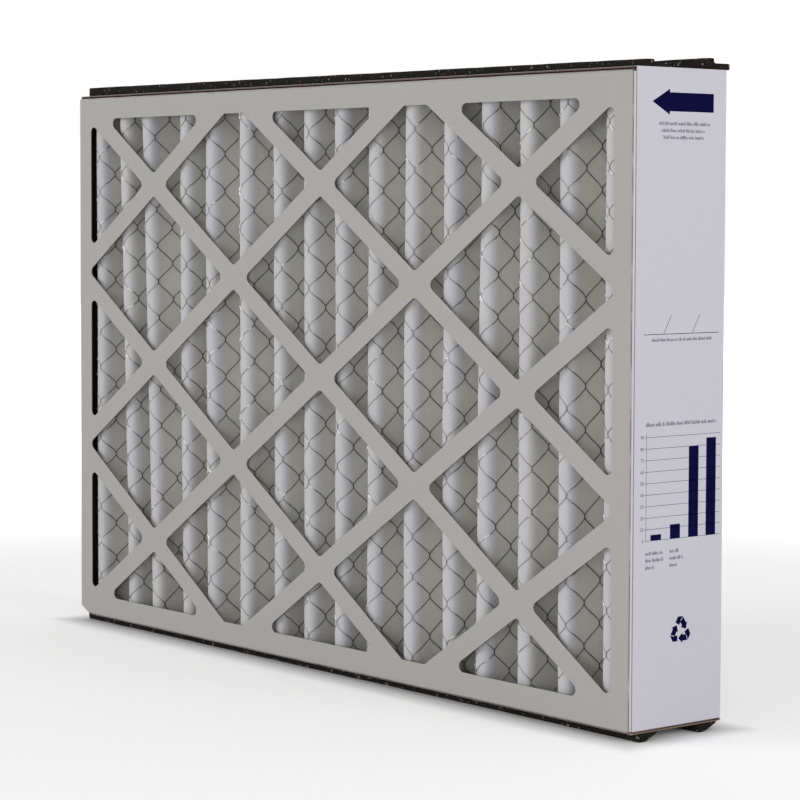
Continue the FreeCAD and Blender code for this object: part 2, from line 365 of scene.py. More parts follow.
def board_material(name, skin_light, skin_dark, low, high, skin_face, flap_edge, cracks, flap_skin_and_highlight,
                   lit_edge):
    """Coated board: skin outside, a back inside darkened with painted shade, brown core on the cut edges.

    low and high are the outside corners of this half. skin_face is its face's outside and
    flap_edge the place of its flaps' raw edge, both along Y. cracks says how much the core shows
    along the upright and the level folds, flap_skin_and_highlight is the colour of the end flaps, on the
    front half painted lighter than its face as a painted highlight, and lit_edge is how far in from the
    raw edge the back is painted pale brown as painted light, before the painted shade of the dark back.
    """
    material, tree, shader = new_material(name, roughness=0.68, specular=0.25)
    # the third tone is the back: kraft darkened with painted shade
    skin, core, kraft_back_painted_shade = (toned(tree, *values)["Color"] for values in (
        (skin_light, skin_dark, 9.0, 700.0, 0.5),
        ((0.30, 0.21, 0.17), (0.12, 0.08, 0.065), 260.0, 2500.0, 0.6),
        ((0.075, 0.06, 0.048), (0.04, 0.03, 0.024), 30.0, 900.0, 0.5)))
    depth, inside_x, inside_z, above = board_depths(tree, low, high, skin_face, flap_edge)
    sides = maths(tree, "SMOOTH_MIN", inside_x, inside_z, FOLD_BLEND * MM)
    under_skin = maths(tree, "SMOOTH_MIN", depth, sides, FOLD_BLEND * MM)
    at_end = maths(tree, "MULTIPLY", less(tree, inside_x, *FLAP_SKIN), more(tree, depth, *FACE_TO_FLAP))
    under_panel = maths(tree, "MULTIPLY", at_end, less(tree, above, *PANEL_FOOT))
    from_edge = maths(tree, "SUBTRACT", abs(flap_edge - skin_face) * MM, depth)
    raw = blend(tree, less(tree, inside_x, *END_FLAP), (0.05, 0.032, 0.026), (0.36, 0.33, 0.34))
    cut = blend(tree, less(tree, from_edge, *RAW_EDGE), core, raw)
    # end flaps: on the front half a lighter colour, a painted highlight on the side facing the end lamp; on
    # the rear half the end panel's own colour
    colour = blend(tree, at_end, skin, flap_skin_and_highlight)
    past_skin = maths(tree, "MAXIMUM", more(tree, under_skin, *SKIN_TO_CORE), under_panel)
    colour = blend(tree, past_skin, colour, cut)
    # near the raw edge the back is painted pale brown, painted light in the slot; deeper in it keeps its
    # painted shade
    back = blend(tree, less(tree, from_edge, 0.3 * lit_edge, lit_edge), kraft_back_painted_shade, (0.62, 0.40, 0.31))
    colour = blend(tree, more(tree, under_skin, *CORE_TO_BACK), colour, back)
    for inside, share in zip((inside_x, inside_z), cracks):
        crack = add_node(tree, "Group", node_tree=wear_group, half_width=CRACK_HALF * MM,
                         value=maths(tree, "SUBTRACT", inside, depth), break_scale=45.0)
        on_fold = maths(tree, "MULTIPLY", crack.outputs["Mask"], less(tree, depth, *CRACK_END))
        colour = blend(tree, maths(tree, "MULTIPLY", on_fold, share), colour, (0.13, 0.065, 0.06))
    dress(tree, shader, colour, paper_relief(tree))
    return material


# the front half's end flap colour is a painted highlight, and its back is painted light for 3 mm from the
# raw edge
front_board = board_material("grey coated board", (0.428, 0.416, 0.40), (0.372, 0.361, 0.346),
                             front_low, front_high, front_y, front_high[1],
                             cracks=(1.0, 0.85), flap_skin_and_highlight=(0.70, 0.67, 0.69), lit_edge=3.0)
# on the rear half the back is painted light for 30 mm behind the panel's front edge
rear_board = board_material("white printed board", (0.61, 0.60, 0.665), (0.55, 0.54, 0.60),
                            rear_low, rear_high, rear_y, panel_front,
                            cracks=(0.35, 0.3), flap_skin_and_highlight=(0.58, 0.57, 0.632), lit_edge=30.0)
for name, material in (("front_frame", front_board), ("rear_frame", rear_board)):
    nodes[name].data.materials.clear()
    nodes[name].data.materials.append(material)

# %% [markdown]
# ## Felt
#
# The filter paper is a thick non-woven felt, folded to and fro. It could be modelled pleat by
# pleat, but a folded sheet is the same all the way up, so one line in the plane and a height
# describe it: `s` runs along the felt from one end to the other, `z` goes up. The line is made of
# straight flanks and round folds. The filter was folded by hand, so each crest stands a little off
# its even place, and some crests lean. Both are lists read off the photograph, in millimetres.

# %% Lines in the plane


def unit(vectors):
    """The same directions in the plane with length 1."""
    return vectors / np.hypot(vectors[..., :1], vectors[..., 1:])


def length_along(line):
    """The length from a line's start to each of its points."""
    return np.concatenate([[0], np.cumsum(np.hypot(*np.diff(line, axis=0).T))])


def even_line(line, count, closed=False):
    """The same line with evenly spaced points; on a closed one the last isn't the first again."""
    along = length_along(line)
    places = np.linspace(0, along[-1], count, endpoint=not closed)
    return np.stack([np.interp(places, along, line[:, k]) for k in (0, 1)], axis=1)


def smoothed(line, width, **ends):
    """A running mean over an odd number of points; ends says how np.pad carries the line on."""
    padded = np.pad(line, ((width // 2, width // 2), (0, 0)), **ends)
    kernel = np.ones(width) / width
    return np.stack([np.convolve(padded[:, k], kernel, "valid") for k in (0, 1)], axis=1)


def corner_arc(before, corner, after, radius, steps=9):
    """Points on the arc that rounds a corner.

    Its centre lies on the bisector, radius / cos(turn / 2) away from the corner.
    """
    way_in, way_out = unit(corner - before), unit(after - corner)
    turn = math.acos(way_in @ way_out)
    to_centre, sideways = unit(way_out - way_in), unit(way_in + way_out)
    angle = np.linspace(-turn / 2, turn / 2, steps)[:, None]
    centre = corner + to_centre * radius / math.cos(turn / 2)
    return centre + radius * (sideways * np.sin(angle) - to_centre * np.cos(angle))


# %% The felt's line, with its crests and the folds behind them

felt_thick = 1.6
pleat_pitch = 37.4
crest_half_width = 6.0
crest_round = 4.2         # radius of the felt's middle line at a crest
rear_half_width = 8.0
rear_round = 7.4
end_leg = 42.0
crest_shift = np.array([-6, -4, -10, -2, -7, -2, 2, 0, -2, -3, -1, 2, 0, 2, 2, 6])
crest_slant = np.array([1, 12, 14, 4, 3, 1, 2, 1, 1, 0, 0, 0, -4, 1, 2, 1])   # foot to +X of head
crest_y = felt_low[1] + felt_thick / 2
rear_crest_y = felt_high[1] - felt_thick / 2
first_rear = felt_high[0] - felt_thick / 2 - rear_half_width
crest_count = round(2 * first_rear / pleat_pitch)
pitch = 2 * first_rear / crest_count
crests = (np.arange(crest_count) + 0.5) * pitch - first_rear + crest_shift
rear_folds = np.concatenate([[-first_rear], (crests[1:] + crests[:-1]) / 2, [first_rear]])


def felt_corners():
    """The corners of the felt's line as (x, y, radius): its two ends, and two at every fold."""
    folds = [(rear_folds[0], rear_half_width, rear_crest_y, rear_round)]
    for crest, rear in zip(crests, rear_folds[1:]):
        folds.append((crest, crest_half_width, crest_y, crest_round))
        folds.append((rear, rear_half_width, rear_crest_y, rear_round))
    corners = [(x + side * half, y, radius) for x, half, y, radius in folds for side in (-1, 1)]
    start, end = ((corners[k][0], rear_crest_y - end_leg, 0) for k in (0, -1))
    return np.array([start, *corners, end])


def felt_line(step=0.25, reach=2.0):
    """The felt's middle line: straight flanks and arcs, then a running mean over reach."""
    corners = felt_corners()
    flat = corners[:, :2]
    arcs = [corner_arc(*flat[k - 1:k + 2], corners[k, 2]) for k in range(1, len(flat) - 1)]
    line = np.concatenate([flat[:1], *arcs, flat[-1:]])
    line = even_line(line, int(length_along(line)[-1] / step) + 1)
    return smoothed(line, int(reach / step) | 1, mode="reflect", reflect_type="odd")


fine_line = felt_line()
fine_along = length_along(fine_line)
felt_length = fine_along[-1]
fine_turn = unit(np.gradient(fine_line, fine_along, axis=0))


def places_along(folds, on_fold, half_width):
    """Where along the felt its folds are: the mean place of the points on each of them."""
    return np.array([np.mean(fine_along[on_fold & (np.abs(fine_line[:, 0] - x) < half_width)])
                     for x in folds])


crest_s = places_along(crests, fine_line[:, 1] < crest_y + 0.5, crest_half_width)
fold_s = places_along(rear_folds, fine_line[:, 1] > rear_crest_y - 0.5, rear_half_width)
print("felt cut length", round(felt_length), "mm, crests", crest_count, "pitch", round(pitch, 2))

# %% [markdown]
# A point of the felt is then found from `s`, `z` and its distance from the middle line. On top of
# the lean, each crest wanders to the side by a few sine waves with seeded phases. Between two
# crests the drift is blended along `s`, so the two flanks that join them stay one sheet.

# %% The felt as a function of place along it, height and distance from it

rng = np.random.default_rng(7)
wave_phases = rng.uniform(0, 2 * math.pi, (3, crest_count))
wave_sizes = rng.uniform(0.3, 1.0, (3, crest_count))
wave_lengths = (410.0, 190.0, 95.0)
DRIFT = 0.5               # size of the longest wave, in millimetres
wall_reach = 60.0         # over this length the drift comes in from the end walls
middle_z = (felt_low[2] + felt_high[2]) / 2
half_z = (felt_high[2] - felt_low[2]) / 2


def crest_drift(s, z):
    """Sideways drift: the lean, straight in z, and waves in z, blended from crest to crest."""
    place = np.interp(s, crest_s, np.arange(crest_count))
    low = np.minimum(place.astype(int), crest_count - 2)
    share = place - low
    share = share * share * (3 - 2 * share)
    total = 0
    for side, weight in ((low, 1 - share), (low + 1, share)):
        total = total + weight * crest_slant[side] / 2 * (middle_z - z) / half_z
        for k, wave in enumerate(wave_lengths):
            swing = np.sin(2 * math.pi * z / wave + wave_phases[k][side])
            total = total + DRIFT * weight * wave_sizes[k][side] * swing / (k + 1)
    return total * np.clip(np.minimum(s - fold_s[0], fold_s[-1] - s) / wall_reach, 0, 1)


def felt_place(s, z, h):
    """The point at s along the felt, height z, and h millimetres from its middle towards the front.

    The middle line gives the point, its normal carries h, and the drift moves it sideways.
    """
    x, y = (np.interp(s, fine_along, fine_line[:, k]) for k in (0, 1))
    tx, ty = (np.interp(s, fine_along, fine_turn[:, k]) for k in (0, 1))
    return np.stack(np.broadcast_arrays(x + ty * h + crest_drift(s, z), y - tx * h, z), axis=-1)


def to_nearest(s, places):
    """How far each s lies from the nearest of some places along the felt."""
    return np.min(np.abs(s[:, None] - places), axis=1)


# %% [markdown]
# The wire backing that lies on the felt is a flat lattice in `s` and `z`, so its columns and rows
# are settled here, before either piece is made. The felt swells a little through each diamond of
# the wire. In a cell of the lattice one strand runs from corner to corner, and `t`, the distance
# from it as a share of the cell, is 0 on the wire and 1 in the middle of a diamond. A quarter of a
# sine wave over `t` makes a pillow that is level on top.

# %% The lattice of the wire, in felt coordinates

mesh_column = 12.2        # distance between two columns of nodes, along the felt
mesh_rise = 13.5          # height that one strand climbs
mesh_columns = int(felt_length / mesh_column)
mesh_rows = int((felt_high[2] - felt_low[2] - 3.0) / mesh_rise)
mesh_s = (felt_length - mesh_columns * mesh_column) / 2
mesh_z = (felt_low[2] + felt_high[2] - mesh_rows * mesh_rise) / 2
PUFF = 0.2                # height of a pillow, in millimetres


def pillow(s, z):
    """sin(pi / 2 * t), where t is the distance from the strand in a cell of the lattice."""
    u, v = (s - mesh_s) / mesh_column, (z - mesh_z) / mesh_rise
    rising = (np.floor(u) + np.floor(v)) % 2 == 0
    across, climb = u % 1, v % 1
    t = np.abs(across - np.where(rising, climb, 1 - climb))
    return np.sin(math.pi / 2 * t)


# %% [markdown]
# The felt's grid has its columns close together round the crests, where it is seen and bent, and
# far apart on the flat flanks. Both sides are one closed surface: the front side, then the back
# side the other way round, so the strip between them closes the cut ends, and quads between the
# two lines close the top and bottom edges.

# %% The pleated felt


def felt_columns(near=14.0, crest_step=2.1, fold_step=3.0, flank_step=13.0):
    """Places along the felt, spaced by a density that is high near the folds.

    The density is 1 / step, its running sum counts the columns, and even counts are looked up.
    """
    s = np.linspace(0, felt_length, 6000)
    behind = np.where(to_nearest(s, fold_s) < near, fold_step, flank_step)
    count = np.cumsum(1 / np.where(to_nearest(s, crest_s) < near, crest_step, behind))
    places = np.linspace(count[0], count[-1], int((count[-1] - count[0]) * (s[1] - s[0])))
    return np.interp(places, count, s)


def felt_surface(rows=92, puff_end=22.0, puff_fade=12.0):
    """A closed shell: the front side at +half a thickness with its pillows, the rear at -half.

    The pillows fade out towards puff_end away from a crest, where nobody sees them.
    """
    s = felt_columns()
    columns = len(s)
    z = np.linspace(felt_low[2], felt_high[2], rows)
    near = np.clip((puff_end - to_nearest(s, crest_s)) / puff_fade, 0, 1)
    front = felt_thick / 2 + PUFF * near * pillow(s[None, :], z[:, None])
    rear = np.full((rows, columns), -felt_thick / 2)
    ring = np.concatenate([s, s[::-1]])
    tall = np.repeat(z[:, None], len(ring), axis=1)
    points = felt_place(ring[None, :], tall, np.concatenate([front, rear], axis=1))
    number = np.arange(2 * columns)
    cap = np.stack([number[:columns - 1], number[1:columns],
                    number[::-1][1:columns], number[::-1][:columns - 1]], axis=-1)
    faces = np.concatenate([grid_faces(rows, len(ring), closed=True), cap[:, ::-1],
                            cap + (rows - 1) * 2 * columns])
    lattice = np.stack(np.broadcast_arrays((ring[None, :] - mesh_s) / mesh_column,
                                           (tall - mesh_z) / mesh_rise, number < columns), axis=-1)
    return points.reshape(-1, 3), faces, lattice.reshape(-1, 3)


# %% The felt's material


def wire_dents():
    """A mask that is 1 along the wires and 0 away from them, and the pillow between them.

    The place is in cells of the lattice. In each cell a strand runs from corner to corner, the
    other way in every second cell, and t is the distance from it as a share of the cell.
    """
    group, given, out = new_group("wire dents", {"Place": "Vector", "Width": "Float"},
                                  {"Mask": "Float", "Pillow": "Float"})
    u, v, front = coordinates(group, given["Place"])
    cells = maths(group, "ADD", maths(group, "FLOOR", u), maths(group, "FLOOR", v))
    odd = maths(group, "FLOORED_MODULO", cells, 2.0)
    across, climb = maths(group, "FRACT", u), maths(group, "FRACT", v)
    fall = maths(group, "SUBTRACT", 1.0, maths(group, "MULTIPLY", climb, 2.0))
    climb = maths(group, "ADD", climb, maths(group, "MULTIPLY", odd, fall))
    t = maths(group, "ABSOLUTE", maths(group, "SUBTRACT", across, climb))
    near = maths(group, "SUBTRACT", 1.0, maths(group, "DIVIDE", t, given["Width"]))
    near = maths(group, "MAXIMUM", near, 0.0)
    feed(group, maths(group, "MULTIPLY", near, front), out["Mask"])
    rise = maths(group, "SINE", maths(group, "MULTIPLY", t, math.pi / 2))
    feed(group, maths(group, "MULTIPLY", rise, front), out["Pillow"])
    return group


def felt_material():
    """White felt: tangled fibres in tone and relief, dented by the wire, with painted shade along the wire.

    It is bluish on the crests, warmer behind them as painted bounce light, and palest in the depth as
    painted light that makes up for the shade of the folds. Each change is a ramp over the distance
    behind the crests.
    """
    material, tree, shader = new_material("white felt", roughness=0.95, specular=0.08)
    shader.inputs["Sheen Weight"].default_value = 0.12
    shader.inputs["Sheen Roughness"].default_value = 0.6
    outside, inside, painted_light_depth = (toned(tree, light, dark, 45.0, 620.0, 0.45)["Color"] for light, dark in (
        ((0.60, 0.597, 0.62), (0.49, 0.487, 0.505)),
        ((0.63, 0.622, 0.585), (0.52, 0.512, 0.475)),
        ((0.90, 0.89, 0.84), (0.77, 0.76, 0.71))))
    y = coordinates(tree, object_place(tree))["Y"]
    # painted light: the flanks behind the crests are painted warmer as bounce light, and the depth paler to
    # make up for the folds' shade
    colour = blend(tree, more(tree, y, crest_y + 1.0, crest_y + 9.0), outside, inside)
    colour = blend(tree, more(tree, y, crest_y + 7.0, crest_y + 32.0, kind="LINEAR"), colour, painted_light_depth)
    lattice = add_node(tree, "Attribute", attribute_name="lattice")
    dents = add_node(tree, "Group", node_tree=wire_dents(), place=lattice.outputs["Vector"],
                     width=0.16)
    # painted shade along the wires: the felt is darkened where a wire lies on it
    wire_painted_shade = maths(tree, "MULTIPLY", dents.outputs["Mask"], 0.10)
    colour = blend(tree, wire_painted_shade, colour, (0.30, 0.29, 0.27))
    bump = add_node(tree, "Bump", strength=0.3, distance=0.9 * MM, height=dents.outputs["Pillow"],
                    normal=relief(tree, coarse=170.0, fine=900.0, depth=0.6, strength=0.4))
    dress(tree, shader, colour, bump.outputs["Normal"])
    return material


points, faces, lattice = felt_surface()
felt = make_piece("felt_pleats", points, faces, felt_material())
felt.data.attributes.new("lattice", "FLOAT_VECTOR", "POINT").data.foreach_set("vector", lattice.ravel())
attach(felt, "root")
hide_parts("pleated_felt")
print("felt", len(points), "points,", 2 * len(faces), "triangles")

# %% [markdown]
# ## Wire backing
#
# Behind the lattice lies expanded wire: a sheet that was slit and pulled open into diamonds, laid
# on the felt and folded with it. In felt coordinates it is a flat, regular lattice, so every
# strand is drawn flat in `s` and `z`, and the felt's own function then bends it round the folds.
# A strand leaves its node upright, where it is joined to its neighbour, and swings over to the
# next column in the shape of an S. Thousands of strands allow only a few faces each: a tube of
# three sides, shaded smooth. It has the most points where it goes round a crest, so that it stays
# on top of the felt there, and the fewest deep in the folds.

# %% The expanded mesh

strand_half = 0.29        # half the thickness of a strand
strand_flat = 1.15        # how much wider than thick it is
wire_gap = 0.1            # between the wire and the felt
s_climb = (0, 0.11, 0.29, 0.71, 0.89, 1)            # the S: shares of a strand's height
s_across = (0, 0.02, 0.215, 0.785, 0.98, 1)         # and how far across the cell it is there
strand_points = ((18, (0, 0.11, 0.29, 0.43, 0.57, 0.71, 0.89, 1)), (52, s_climb),
                 (999, (0, 0.11, 0.89, 1)))         # by distance from a crest


def strands(column, row, climb):
    """Tubes of three sides, one for each column and row, with points at the given shares of climb.

    A strand's middle line is the S, mirrored in every second cell. Each point carries a triangle
    that is square to the strand, and the felt's function puts it on the felt.
    """
    across = np.interp(climb, s_climb, s_across)
    rising = ((column + row) % 2 == 0)[:, None]
    s = mesh_s + (column[:, None] + np.where(rising, across, 1 - across)) * mesh_column
    z = mesh_z + (row[:, None] + climb) * mesh_rise
    way = unit(np.stack([np.gradient(s, axis=1), np.gradient(z, axis=1)], axis=-1))
    stand = felt_thick / 2 + wire_gap + strand_half
    corners = []
    for angle in np.radians([90, 210, 330]):
        side, up = strand_flat * strand_half * math.cos(angle), strand_half * math.sin(angle)
        corners.append(felt_place(s + way[..., 1] * side, z - way[..., 0] * side, stand + up))
    points = np.stack(corners, axis=2)
    number = np.arange(points.size // 3).reshape(points.shape[:3])
    after = np.roll(number, -1, axis=2)
    quads = np.stack([number[:, :-1], after[:, :-1], after[:, 1:], number[:, 1:]], axis=-1).reshape(-1, 4)
    caps = np.concatenate([number[:, 0, ::-1], number[:, -1]])
    return points.reshape(-1, 3), np.concatenate([quads[:, [0, 1, 2]], quads[:, [0, 2, 3]], caps])


def wire_surface():
    """All strands; each has its points by how far the middle of its cell is from a crest."""
    cell = np.arange(mesh_columns * mesh_rows)
    column, row = cell // mesh_rows, cell % mesh_rows
    away = to_nearest(mesh_s + (column + 0.5) * mesh_column, crest_s)
    tubes, reached = [], 0
    for limit, climb in strand_points:
        chosen = (away >= reached) & (away < limit)
        tubes.append(strands(column[chosen], row[chosen], np.array(climb)))
        reached = limit
    return joined(tubes)


def wire_material():
    """Galvanised steel: dull and dark down the flanks, painted bright on the crests as a painted highlight,
    with painted glints.
    """
    material, tree, shader = new_material("galvanised wire", roughness=0.4, metallic=0.6)
    dull = toned(tree, (0.17, 0.165, 0.16), (0.02, 0.02, 0.02), 130.0, 1200.0, 0.4)
    # the crests get a lighter copy of the wire, a painted highlight where the front lamp falls, with white
    # painted glints on top
    crest_painted_highlight = toned(tree, (0.62, 0.62, 0.64), (0.14, 0.14, 0.145), 110.0, 700.0, 0.4)
    y = coordinates(tree, object_place(tree))["Y"]
    on_crest = less(tree, maths(tree, "SUBTRACT", y, crest_y * MM), -0.6, 2.6)
    painted_glint = maths(tree, "MULTIPLY", ramp(tree, noise(tree, 130.0, detail=1.0), 0.58, 0.66), on_crest)
    colour = blend(tree, on_crest, dull["Color"], crest_painted_highlight["Color"])
    colour = blend(tree, painted_glint, colour, (1.0, 1.0, 1.0))
    rough = add_node(tree, "MapRange", value=dull["Tone"], to_min=0.25, to_max=0.6)
    feed(tree, rough.outputs["Result"], shader.inputs["Roughness"])
    dress(tree, shader, colour, relief(tree, coarse=600.0, fine=2600.0, depth=0.1, strength=0.5))
    return material


points, triangles = wire_surface()
wire = make_piece("expanded_wire", points, triangles, wire_material())
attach(wire, "root")
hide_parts("wire_mesh")
print("wire", len(triangles), "triangles")

# %% [markdown]
# ## Foam strips
#
# The seals are strips of open foam. A top strip has a crown along its front and a thin tail a step
# below it. A bottom strip carries the filter, and its foam is pressed to a slope behind the crown.
# Each keeps the section of its solid, walked round as a closed line, and this line is carried
# along the strip. Foam is cut and glued by hand, so the crown rises and sinks by a few tenths of a
# millimetre along the way. Nothing presses on the top strips, so they stand a little fuller than
# their solids, the front one most at its plain end, where no hand has squeezed it.

# %% Four foam strips

STRIP_POINTS = 36         # points round a section
STRIP_ROWS = 200          # sections along a strip
STRIP_HALF = 300.0        # about half a strip's length
strip_high = 5.4          # the crown of a strip
crown_wide, tail_high, strip_wide = 7.0, 3.0, 20.5            # a top strip
pressed_wide, slope_wide, slope_foot = 5.0, 14.5, 0.8         # a bottom strip
pressed_toe = 2.0         # how far its foot stands in front of its crown


def strip_corners(upward):
    """The corners of a strip's section as (across, high), from the foot at its front."""
    if upward:
        return [(0, 0), (0, strip_high), (crown_wide, strip_high), (crown_wide, tail_high),
                (strip_wide, tail_high), (strip_wide, 0), (0, 0)]
    rear = pressed_toe + slope_wide
    return [(0, 0), (pressed_toe, strip_high), (pressed_toe + pressed_wide, strip_high),
            (rear, slope_foot), (rear, 0), (0, 0)]


def strip_section(upward, finer=8, eased=9, foot=0.35):
    """The section walked round evenly, with its corners eased by a running mean.

    What then lies less than foot from the board is laid on it, so that the base stays flat.
    """
    line = even_line(np.array(strip_corners(upward), dtype=float), STRIP_POINTS * finer, closed=True)
    line = smoothed(line, eased, mode="wrap")
    line[:, 1] = np.where(line[:, 1] < foot, 0.0, line[:, 1])
    return line[::finer]


def strip_surface(name, seed, full, lean):
    """The section carried along X, with slow waves along the way.

    The height is scaled by full, and by lean from the middle to an end. Nothing presses on a top
    strip, so its height has waves too. A bottom strip bears on the floor, and its crown wanders
    forward instead.
    """
    low, high = box_mm(name)
    upward = name.startswith("seal_top")
    section = strip_section(upward)
    x = np.linspace(low[0], high[0], STRIP_ROWS)
    phases = np.random.default_rng(seed).uniform(0, 2 * math.pi, 4)
    waves = sum(np.sin(x / length + phase) for length, phase in zip((53.0, 21.0, 9.0, 4.3), phases)) / 4
    swell = full + lean * x / STRIP_HALF + (0.03 * waves if upward else 0)
    forward = np.zeros(len(x)) if upward else pressed_toe * (0.6 + 0.3 * waves)
    base, sign = (low[2], 1) if upward else (high[2], -1)
    across, above = section.T[:, None]
    points = np.stack(np.broadcast_arrays(
        x[:, None], low[1] + across - forward[:, None] * above / strip_high,
        base + sign * above * swell[:, None]), axis=-1)
    faces = grid_faces(len(x), len(section), closed=True)
    cap = fan_faces(len(section))           # from the foot, which sees the whole section
    triangles = np.concatenate([faces[:, [0, 1, 2]], faces[:, [0, 2, 3]], cap[:, ::-1],
                                cap + (len(x) - 1) * len(section)])
    return points.reshape(-1, 3), triangles[:, ::-1] if upward else triangles


def foam_material():
    """Black foam: a ground of tiny pits, with painted glints for the odd cell wall that catches the light.
    """
    material, tree, shader = new_material("black foam", roughness=0.95, specular=0.08)
    ground = toned(tree, (0.024, 0.019, 0.015), (0.005, 0.005, 0.004), 160.0, 900.0, 0.5)["Color"]
    # painted glints: pale specks where a cell wall would catch the light
    painted_glint = ramp(tree, noise(tree, 420.0, detail=1.0), 0.65, 0.74, kind="LINEAR")
    pits = add_node(tree, "TexVoronoi", vector=object_place(tree), scale=850.0)
    bump = add_node(tree, "Bump", distance=0.6 * MM, strength=0.8,
                    height=pits.outputs["Distance"])
    dress(tree, shader, blend(tree, painted_glint, ground, (0.22, 0.205, 0.19)), bump.outputs["Normal"])
    return material


foam = foam_material()
for seed, (name, full, lean) in enumerate((
        ("seal_top_front", 1.07, -0.23), ("seal_top_rear", 1.26, 0.0),
        ("seal_bottom_front", 1.0, 0.0), ("seal_bottom_rear", 1.0, 0.0))):
    points, triangles = strip_surface(name, seed, full, lean)
    strip = make_piece("foam_" + name[5:], points, triangles, foam)
    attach(strip, "root")
    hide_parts(name)
    print(strip.name, len(triangles), "triangles")

# %% [markdown]
# ## Print on the end panel
#
# The panel is printed in one dark blue ink, with some fine lines in grey. It could be painted in
# the board's material, but flat shapes keep every edge sharp at any distance. Ink has next to no
# thickness, so each mark lies just clear of the board. A mark is given in the panel's own
# millimetres: `across` from its front edge, `down` from its top edge, as one would measure it with
# a ruler. Only plain figures and marks are printed. Where the real panel has words, fine print is
# stood for by rows of blocks, and the rest stays bare.

# %% Flat marks on the panel

INK_STANDS = 0.05         # distance of the ink from the board
marks = {"blue": [], "grey": []}


def add_mark(ink, outline):
    """Keeps a convex outline, a list of (across, down), as a fan of triangles."""
    marks[ink].append((np.array(outline, dtype=float), fan_faces(len(outline))))


def add_bar(ink, across, down, wide, high):
    """An upright rectangle, from its corner at the upper left."""
    add_mark(ink, [(across, down), (across + wide, down), (across + wide, down + high),
                   (across, down + high)])


def add_stroke(ink, start, end, thick):
    """A straight line of even thickness."""
    start, end = np.array(start, float), np.array(end, float)
    way = unit(end - start)
    side = np.array([-way[1], way[0]]) * thick / 2
    add_mark(ink, [start - side, end - side, end + side, start + side])


def add_figures(ink, text, across, down, size):
    """Plain figures in the built-in font, ending at across and centred on down."""
    curve = bpy.data.curves.new("figures", "FONT")
    curve.body, curve.size, curve.align_x, curve.align_y = text, size, "RIGHT", "CENTER"
    curve.resolution_u = 2
    holder = bpy.data.objects.new("figures", curve)
    scene.collection.objects.link(holder)
    mesh = bpy.data.meshes.new_from_object(holder.evaluated_get(bpy.context.evaluated_depsgraph_get()))
    mesh.calc_loop_triangles()
    flat = np.empty(len(mesh.vertices) * 3)
    mesh.vertices.foreach_get("co", flat)
    corners = np.empty(len(mesh.loop_triangles) * 3, dtype=np.int32)
    mesh.loop_triangles.foreach_get("vertices", corners)
    flat = flat.reshape(-1, 3)
    marks[ink].append((np.stack([across + flat[:, 0], down - flat[:, 1]], axis=-1), corners.reshape(-1, 3)))
    bpy.data.objects.remove(holder)
    bpy.data.meshes.remove(mesh)
    bpy.data.curves.remove(curve)


def marks_surface(kept):
    """All marks of one ink as triangles in the panel's plane, facing out."""
    flat, triangles = joined(kept)
    points = np.stack([np.full(len(flat), end_x + INK_STANDS), panel_front + flat[:, 0],
                       panel_top - flat[:, 1]], axis=-1)
    a, b, c = (points[triangles[:, k]] for k in range(3))
    facing = np.cross(b - a, c - a)[:, 0]
    triangles[facing < 0] = triangles[facing < 0][:, ::-1]
    return points, triangles


# %% The flow arrow, the date line and the chart


def print_arrow():
    """A solid arrow towards the side where the air leaves."""
    add_mark("blue", [(12.8, 20.7), (27.5, 12.9), (27.5, 28.5)])
    add_bar("blue", 27.5, 15.0, 37.6, 11.4)


def print_date_line():
    """A line to write on, with two slashes between day, month and year."""
    add_bar("blue", 7.0, 160.7, 64.2, 0.35)
    for across in (23.8, 48.2):
        add_stroke("blue", (across, 160.9), (across + 6.6, 149.4), 0.3)


chart_left, chart_right = 10.2, 73.8
chart_top, chart_bottom = 223.0, 285.8
chart_lines = 10
axis_over, tick_out, thin = 3.0, 1.2, 0.3           # the axis and the lines stick out a little
chart_bars = ((14.2, 8.9, 282.3), (30.7, 8.6, 277.0), (46.4, 8.4, 230.1), (61.5, 8.4, 225.5))


def print_chart():
    """A bar chart: ten thin lines with their figures, an upright axis and four bars."""
    for k in range(chart_lines):
        down = chart_bottom - k * (chart_bottom - chart_top) / (chart_lines - 1)
        add_bar("grey", chart_left - tick_out, down - thin / 2, chart_right - chart_left + tick_out, thin)
        add_figures("grey", str(10 * k), chart_left - 2.0, down, 3.1)
    add_bar("grey", chart_left - thin / 2, chart_top - axis_over, thin, chart_bottom - chart_top + axis_over)
    for across, wide, top in chart_bars:
        add_bar("blue", across, top, wide, chart_bottom - top)


def print_loop(centre, side=15.6, half=1.9, head=(3.2, 3.5), fold_gap=0.5):
    """Three arrows that chase one another round a triangle: the common mark for reuse.

    An arrow comes along one side, folds over at the corner, which is cut flat, and ends in a head
    in the middle of the next side. A thin gap is left at the fold. The arrow is worked out once,
    and turned by 0, 120 and 240 degrees.
    """
    corner = np.array([0, side / math.sqrt(3)])
    come, leave = np.array([0.5, math.sqrt(0.75)]), np.array([0.5, -math.sqrt(0.75)])
    lap = side / 2 - head[1] / 2
    line = np.concatenate([[corner - come * (lap - 0.8)],
                           corner_arc(corner - come, corner, corner + leave, 1.1, steps=2),
                           [corner + leave * lap]])
    way = unit(np.gradient(line, axis=0))
    square = np.stack([-way[:, 1], way[:, 0]], axis=1) * half
    across = np.array([-leave[1], leave[0]]) * head[0]
    tip = corner + leave * (lap + head[1])
    outlines = [np.array([corner + leave * lap + across, tip, corner + leave * lap - across])]
    for k in range(len(line) - 1):
        start = line[k] + (leave * fold_gap if k == len(line) - 2 else 0)
        outlines.append(np.array([start + square[k], line[k + 1] + square[k + 1],
                                  line[k + 1] - square[k + 1], start - square[k]]))
    for turn in np.radians([0, 120, 240]):
        spin = np.array([[math.cos(turn), -math.sin(turn)], [-math.sin(turn), -math.cos(turn)]])
        for outline in outlines:
            add_mark("blue", centre + outline @ spin.T)


